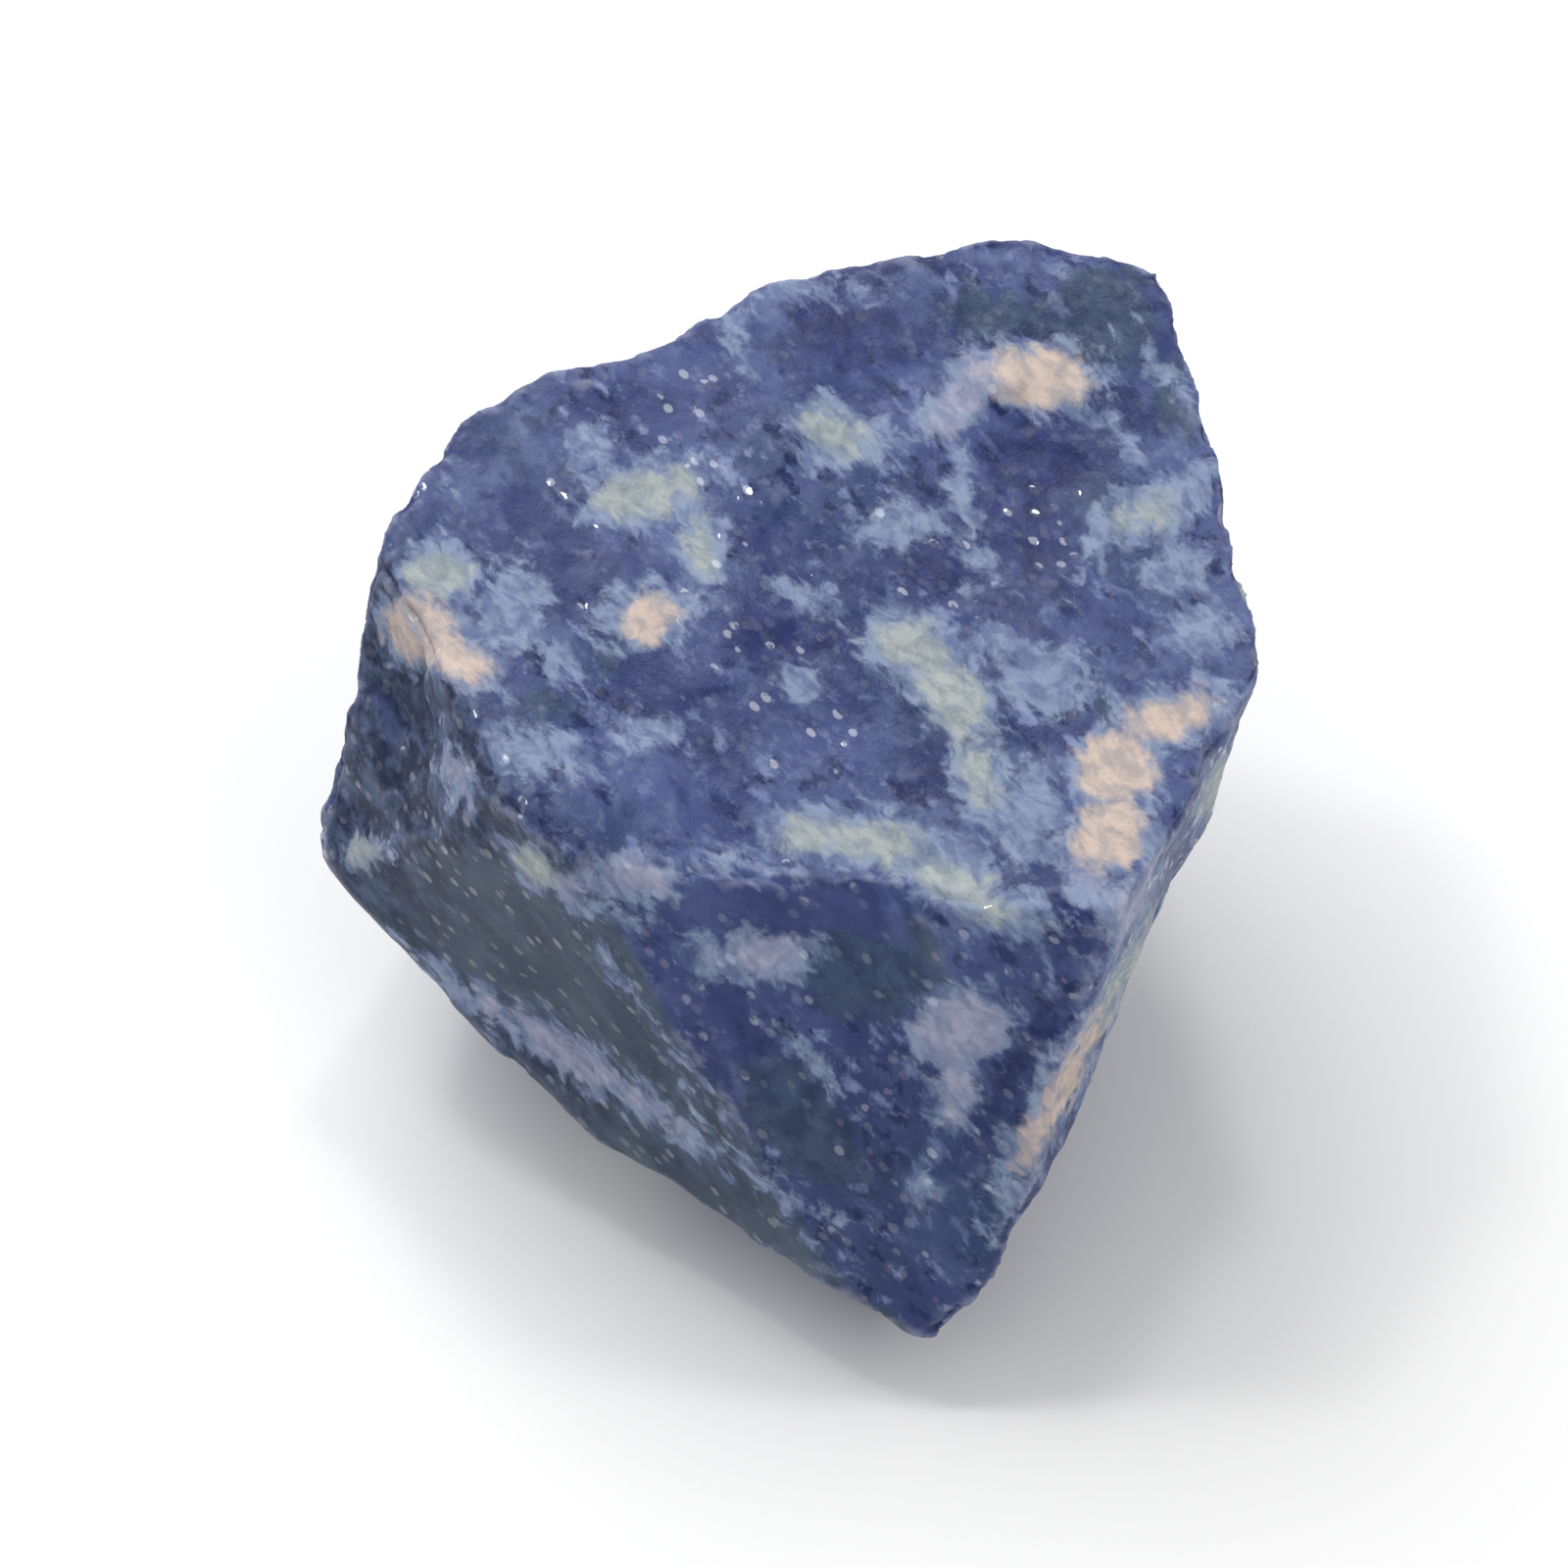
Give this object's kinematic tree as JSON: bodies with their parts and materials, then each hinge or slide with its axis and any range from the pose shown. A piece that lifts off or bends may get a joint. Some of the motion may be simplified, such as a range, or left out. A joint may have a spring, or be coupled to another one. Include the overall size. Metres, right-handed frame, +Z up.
{
  "type": "rough blue sodalite stone",
  "caption": "Walnut-sized lump of rough blue stone, broken on every side, with a broad sloping top face, chipped ridges and a small flat underneath that it rests on.",
  "frame": {"origin": "on the resting flat's plane, under the middle of the stone's box", "axes": "+Z up from the resting flat, -Y towards the viewer of the stone's front, where the broad top face slopes down, +X to that viewer's right"},
  "size_m": [0.0368, 0.0394, 0.0254],
  "materials": {
    "blue_stone": "broken and waxy, denim blue clouded with paler blue, cream, grey-green and peach patches, dark slate in places, with tiny bright cleavage glints"
  },
  "bodies": {
    "root": {"stone": "blue_stone"}
  },
  "joints": []
}
